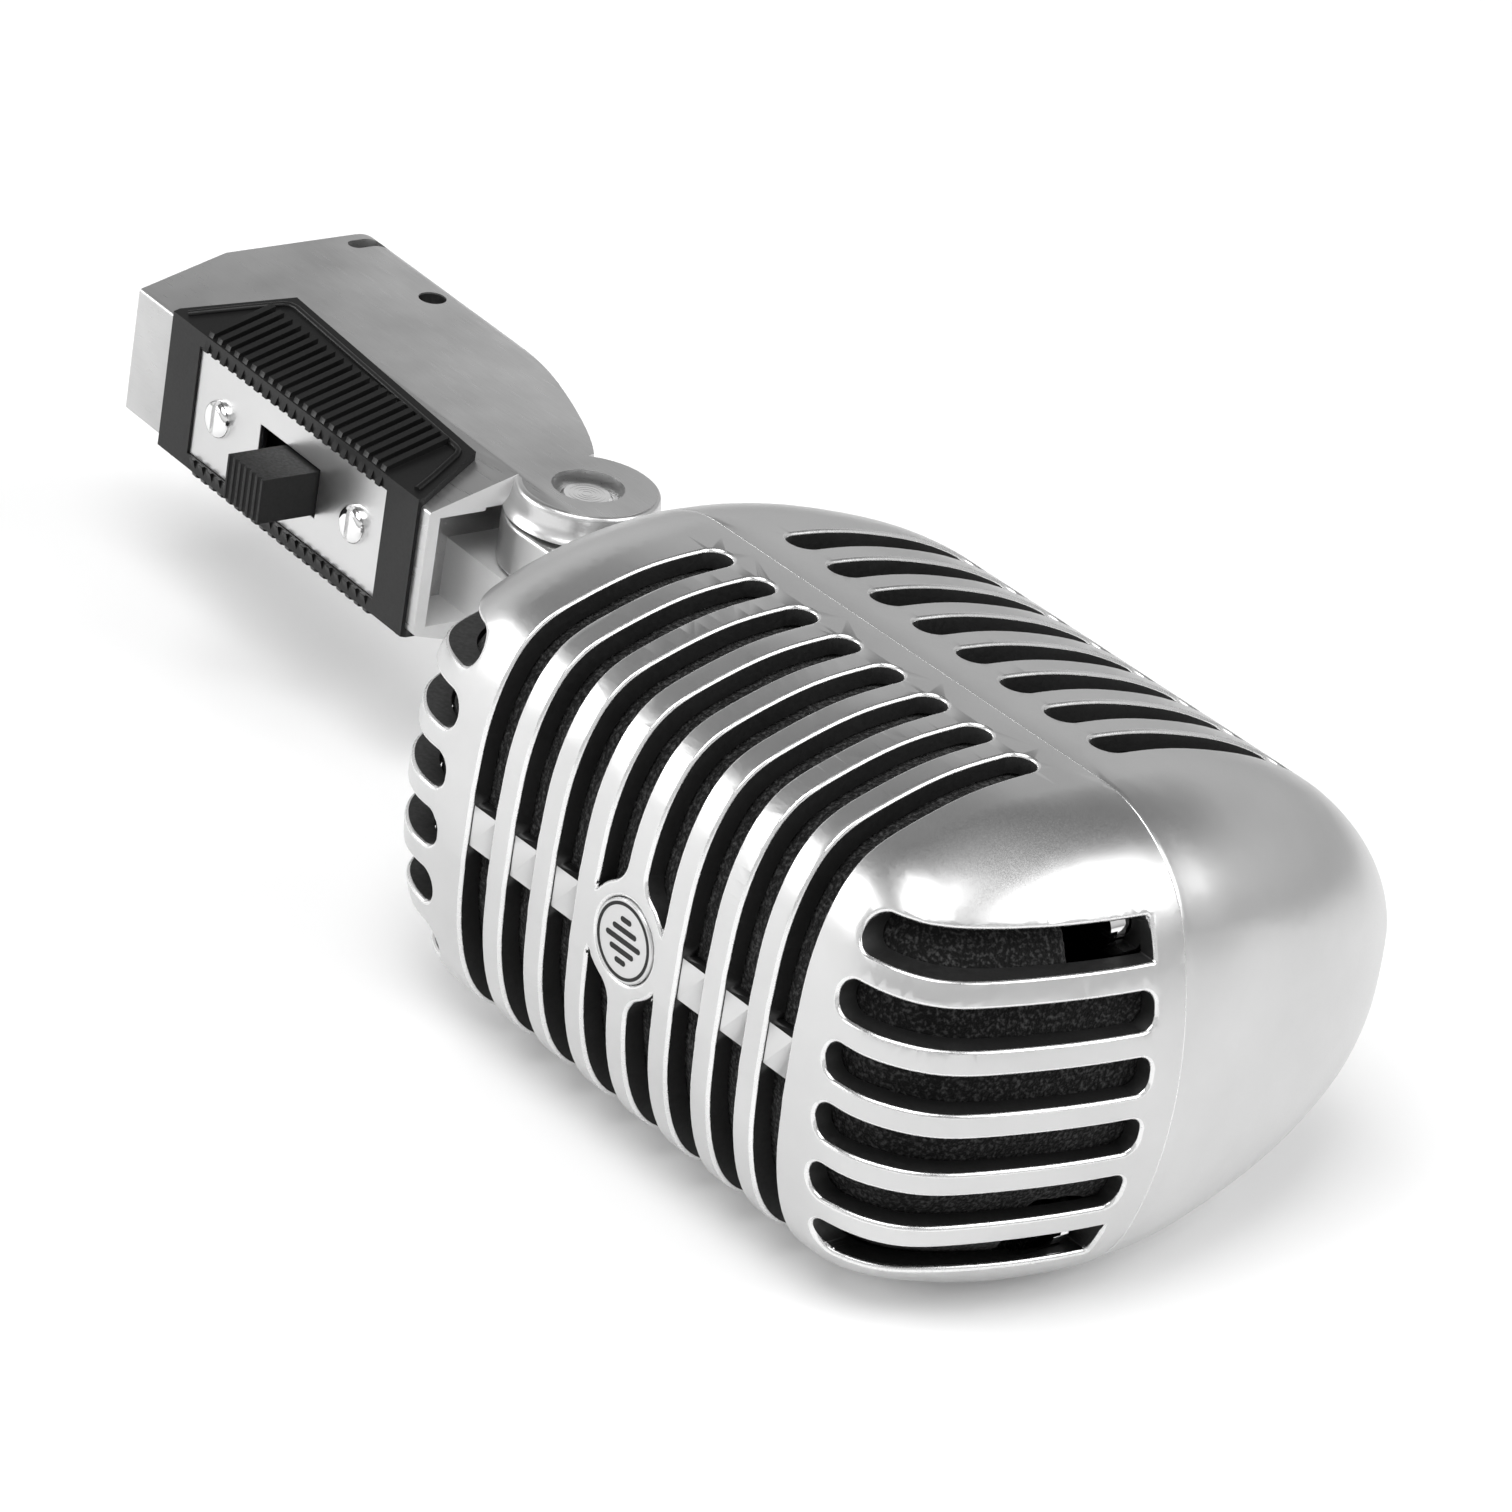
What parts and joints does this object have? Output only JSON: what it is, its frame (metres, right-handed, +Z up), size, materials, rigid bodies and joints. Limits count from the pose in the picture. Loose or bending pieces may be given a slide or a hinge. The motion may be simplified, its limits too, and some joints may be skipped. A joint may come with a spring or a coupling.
{
  "type": "vocal microphone",
  "caption": "Vintage-style vocal microphone with a slotted die-cast head that tilts on a swivel base with a slide switch, stand thread and cable inlet, lying on its side.",
  "frame": {"origin": "middle of the box round the microphone as it lies on its side, on the surface that it rests on", "axes": "+X along the head from its foot to its crown, -Y the way the grille faces, +Z up, which is the head's left flank"},
  "size_m": [0.1927, 0.078, 0.0561],
  "materials": {
    "satin_chrome": "satin chrome plate over die-cast zinc, finely brushed",
    "polished_chrome": "polished nickel chrome",
    "badge_enamel": "polished rim with a dark enamel face, no lettering",
    "foam": "open-cell black foam and fleece",
    "capsule_alloy": "plain turned aluminium",
    "diaphragm_film": "thin clear polyester film",
    "copper": "enamelled copper wire",
    "plated_steel": "zinc-plated steel",
    "magnet": "cast alnico magnet",
    "rubber": "soft black rubber",
    "lead_insulation": "thin PVC insulation",
    "washer": "plain nylon",
    "black_plastic": "black moulded plastic, semi-gloss on the ribs",
    "nameplate": null,
    "contact_metal": "silver-plated brass",
    "lamination_steel": "varnished laminations"
  },
  "bodies": {
    "base": {"base_casting": "satin_chrome", "pivot_pin": "polished_chrome", "friction_washers": "washer", "pivot_lock_screw": "plated_steel", "switch_bezel": "black_plastic", "switch_plate": "nameplate", "plate_screws": "polished_chrome", "switch_body": "black_plastic", "switch_contacts": "contact_metal", "connector_insert": "black_plastic", "connector_pins": "contact_metal", "connector_screw": "plated_steel", "transformer_core": "lamination_steel", "transformer_winding": "copper", "base_leads": "lead_insulation"},
    "head": {"front_grille": "satin_chrome", "rear_shell": "satin_chrome", "badge": "badge_enamel", "foam_liner_front": "foam", "foam_liner_rear": "foam", "capsule_can": "capsule_alloy", "capsule_cap": "capsule_alloy", "diaphragm": "diaphragm_film", "voice_coil": "copper", "yoke": "plated_steel", "magnet": "magnet", "shock_rings": "rubber", "capsule_bracket": "plated_steel", "case_screws": "plated_steel", "swivel_neck": "satin_chrome", "head_leads": "lead_insulation"},
    "switch": {"switch_knob": "black_plastic"}
  },
  "joints": [
    {"name": "head_tilt", "type": "hinge", "parent": "base", "child": "head", "pos_m": [-0.0271, 0.01075, 0.02804], "axis": [0, 0, 1], "range_deg": [-48, 77]},
    {"name": "switch_slide", "type": "slide", "parent": "base", "child": "switch", "axis": [-0.9984, 0.0558, 0], "range_m": [0, 0.005]}
  ]
}
